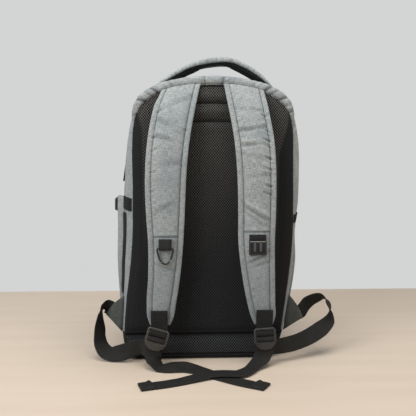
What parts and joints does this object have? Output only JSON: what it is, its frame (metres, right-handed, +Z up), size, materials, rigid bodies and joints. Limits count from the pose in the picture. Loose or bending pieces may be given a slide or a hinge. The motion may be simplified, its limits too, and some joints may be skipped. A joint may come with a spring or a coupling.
{
  "type": "laptop backpack",
  "caption": "Upright zipped laptop backpack with padded mesh back, padded shoulder straps, webbing adjusters, side pockets and a padded haul handle, standing on its base.",
  "frame": {"origin": "on the flat bottom of the base, in the middle of the bag's width at mid height and of its depth, on the surface the bag stands on", "axes": "+Z up; -Y towards the viewer, out of the padded back and shoulder straps; +X to the right as seen facing the straps"},
  "size_m": [0.3846, 0.2992, 0.483],
  "materials": {
    "grey_cloth": "matte melange weave",
    "black_cloth": "matte plain weave",
    "air_mesh": "matte open mesh over foam",
    "webbing": "ribbed weave with a slight sheen",
    "plastic": "satin",
    "ring_metal": "gloss black over metal"
  },
  "bodies": {
    "bag": {"gusset": "grey_cloth", "base": "black_cloth", "front_panel": "grey_cloth", "back_panel": "air_mesh", "lower_band": "air_mesh", "main_zip": "black_cloth", "left_pull": "plastic", "right_pull": "plastic", "side_zip": "black_cloth", "left_pocket": "grey_cloth", "right_pocket": "grey_cloth", "left_compression_strap": "webbing", "right_compression_strap": "webbing", "left_front_strap": "webbing", "left_release": "plastic", "left_pad": "grey_cloth", "right_pad": "grey_cloth", "left_buckle": "plastic", "right_buckle": "plastic", "left_buckle_loop": "webbing", "right_buckle_loop": "webbing", "left_wing": "grey_cloth", "right_wing": "grey_cloth", "left_webbing": "webbing", "right_webbing": "webbing", "ring_loop": "webbing", "keeper": "plastic", "keeper_tab": "webbing", "handle_lining": "black_cloth", "handle": "grey_cloth"},
    "ring": {"ring": "ring_metal"}
  },
  "joints": [
    {"name": "ring_swing", "type": "hinge", "parent": "bag", "child": "ring", "pos_m": [-0.073, -0.12509, 0.18], "axis": [-1, 0, 0], "range_deg": [0, 150]}
  ]
}
